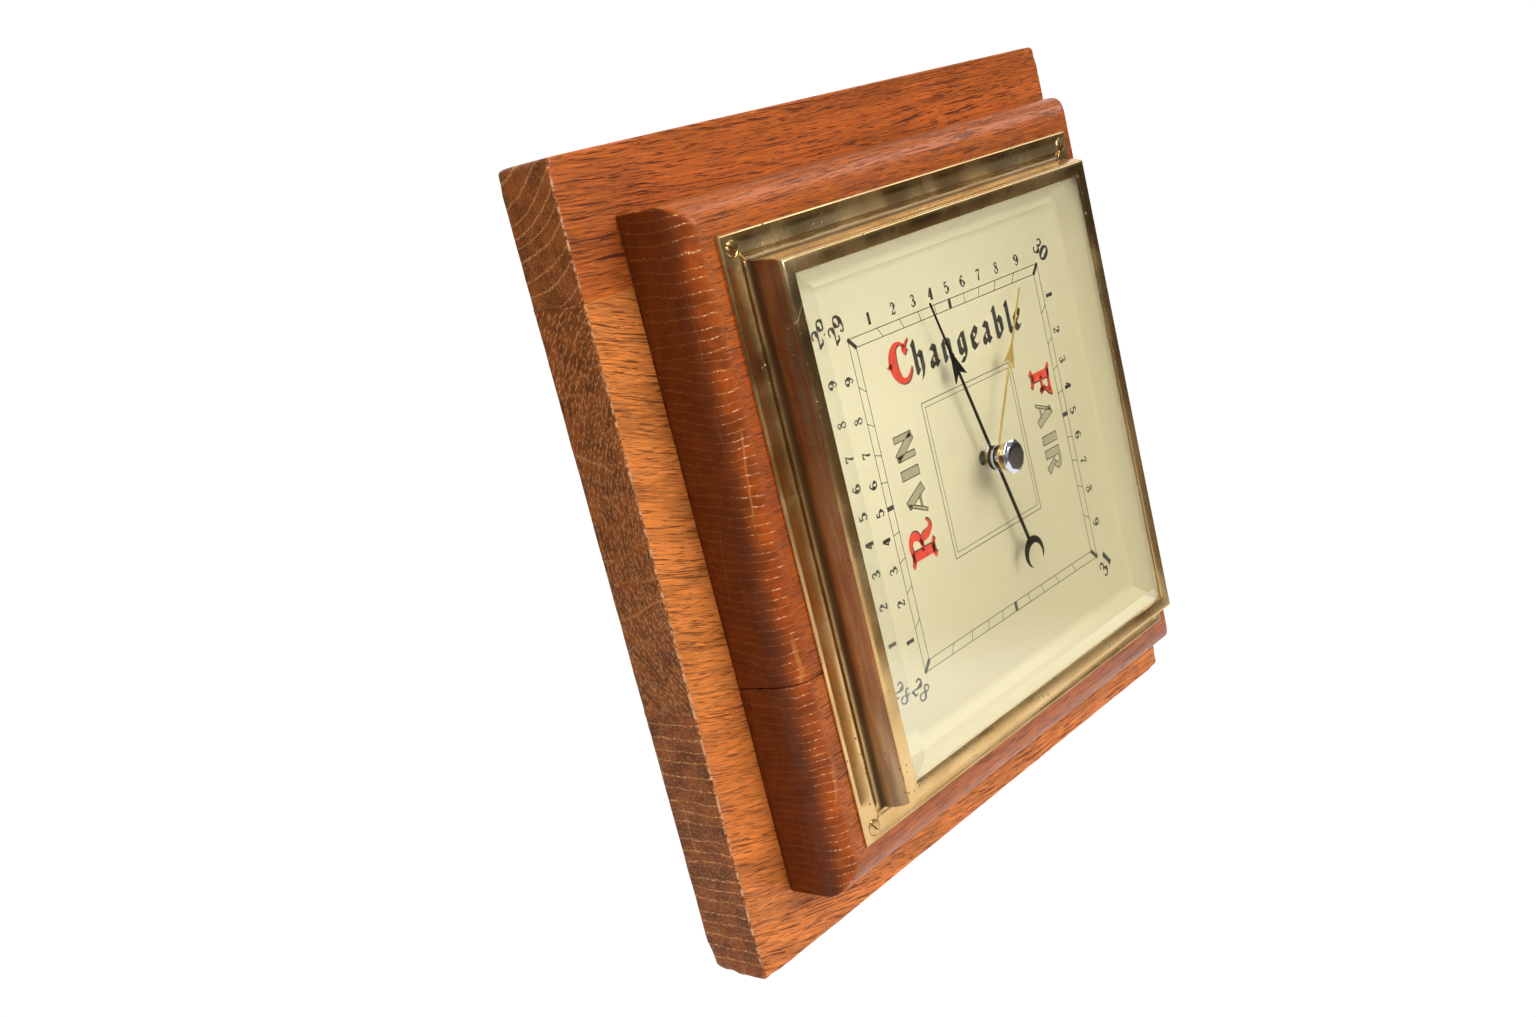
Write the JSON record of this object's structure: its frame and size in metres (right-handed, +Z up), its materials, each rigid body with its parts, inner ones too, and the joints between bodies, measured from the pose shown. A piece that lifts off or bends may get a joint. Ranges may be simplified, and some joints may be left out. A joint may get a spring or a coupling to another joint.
{
  "type": "wall aneroid barometer",
  "caption": "Square wall aneroid barometer: moulded oak board, brass bezel with bevelled glass, printed dial, pressure hand and set hand over a capsule, spring, lever, rocker and chain movement.",
  "frame": {"origin": "centre of the board's back face, on the wall plane and on the hands' axis", "axes": "+X to the right seen from the front, +Y into the wall (the dial faces -Y), +Z up as it hangs"},
  "size_m": [0.25, 0.0632, 0.25],
  "materials": {
    "oak": "varnished quarter-sawn oak, dark pores",
    "oak_board": "stained and waxed oak",
    "aged_brass": "aged, pitted, once polished",
    "movement_brass": "lacquered",
    "set_hand_brass": "polished",
    "blued_steel": "blued almost black",
    "steel": "turned steel",
    "spring_steel": "tempered spring steel",
    "nickel_silver": "sprung diaphragm, matt",
    "nickel": "nickel plated",
    "dial_enamel": "cream painted pressing with printed scale",
    "card": "grey card",
    "plate_glass": "clear, bevelled",
    "iron": "blacked casting"
  },
  "bodies": {
    "body": {"arbor_strap_lower": "movement_brass", "arbor_strap_upper": "movement_brass", "bezel": "aged_brass", "bezel_screws": "aged_brass", "block_plank_bottom": "oak", "block_plank_middle": "oak", "block_plank_top": "oak", "board_plank_bottom": "oak_board", "board_plank_middle": "oak_board", "board_plank_top": "oak_board", "bracket_screws": "steel", "bridge": "iron", "bridge_screws": "steel", "capsule_back": "nickel_silver", "capsule_carrier": "spring_steel", "capsule_front": "nickel_silver", "capsule_seat": "movement_brass", "carrier_block": "movement_brass", "carrier_screws": "steel", "case_screws": "steel", "dial": "dial_enamel", "dial_packing": "card", "glass": "plate_glass", "hairspring": "blued_steel", "hairspring_stud": "movement_brass", "hanger_plate": "aged_brass", "hanger_screws": "steel", "knob_washer": "aged_brass", "main_spring": "spring_steel", "movement_case": "movement_brass", "movement_plate": "movement_brass", "pillar_base_screws": "steel", "pillar_screws": "steel", "pillars_lower": "movement_brass", "pillars_upper": "movement_brass", "plate_screws": "steel", "rocker_brackets": "movement_brass", "spring_screws": "steel"},
    "hand_arbor": {"pressure_hand": "blued_steel", "hand_collet": "movement_brass", "hand_arbor": "steel", "chain_turns": "steel"},
    "stud": {"capsule_stud": "steel", "stud_pin": "steel"},
    "lever": {"main_lever": "steel"},
    "link": {"link_rod": "movement_brass"},
    "rocker": {"rocker": "steel"},
    "chain": {"chain": "steel"},
    "set_hand": {"set_hand": "set_hand_brass", "set_spindle": "nickel", "knob": "nickel"},
    "adjuster": {"adjusting_screw": "steel"}
  },
  "joints": [
    {"name": "pressure_hand_turn", "type": "hinge", "parent": "body", "child": "hand_arbor", "pos_m": [0, -0.04, 0], "axis": [0, 1, 0], "range_deg": [-118.8, 151.2], "stiffness_Nm_per_rad": 0.0004, "deforming": ["hairspring"]},
    {"name": "stud_lift", "type": "slide", "parent": "body", "child": "stud", "axis": [0, 1, 0], "range_m": [-0.00054, 0.00068], "deforming": ["capsule_front"]},
    {"name": "lever_swing", "type": "hinge", "parent": "body", "child": "lever", "pos_m": [-0.033, -0.0266, 0], "axis": [0, 0, 1], "range_deg": [-0.93, 1.18], "deforming": ["main_spring"]},
    {"name": "link_swing", "type": "hinge", "parent": "lever", "child": "link", "pos_m": [0.035, -0.0249, 0.014], "axis": [0, 0, 1], "range_deg": [-1.18, 0.93]},
    {"name": "rocker_turn", "type": "hinge", "parent": "body", "child": "rocker", "pos_m": [0.04, -0.0125, 0], "axis": [0, 0, 1], "range_deg": [-15.9, 12.5]},
    {"name": "chain_run", "type": "slide", "parent": "body", "child": "chain", "axis": [1, 0, 0], "range_m": [-0.00665, 0.00525]},
    {"name": "set_hand_turn", "type": "hinge", "parent": "body", "child": "set_hand", "pos_m": [0, -0.055, 0], "axis": [0, 1, 0], "continuous": true},
    {"name": "adjusting_screw_turn", "type": "hinge", "parent": "body", "child": "adjuster", "pos_m": [-0.02, -0.006, 0], "axis": [0, 1, 0], "range_deg": [-180, 180]}
  ],
  "couplings": [
    {"joint": "stud_lift", "follows": "pressure_hand_turn", "m_per_rad": 0.00025276},
    {"joint": "lever_swing", "follows": "pressure_hand_turn", "ratio": 0.0076593},
    {"joint": "link_swing", "follows": "pressure_hand_turn", "ratio": -0.0076593},
    {"joint": "rocker_turn", "follows": "pressure_hand_turn", "ratio": -0.10417},
    {"joint": "chain_run", "follows": "pressure_hand_turn", "m_per_rad": -0.0025}
  ]
}
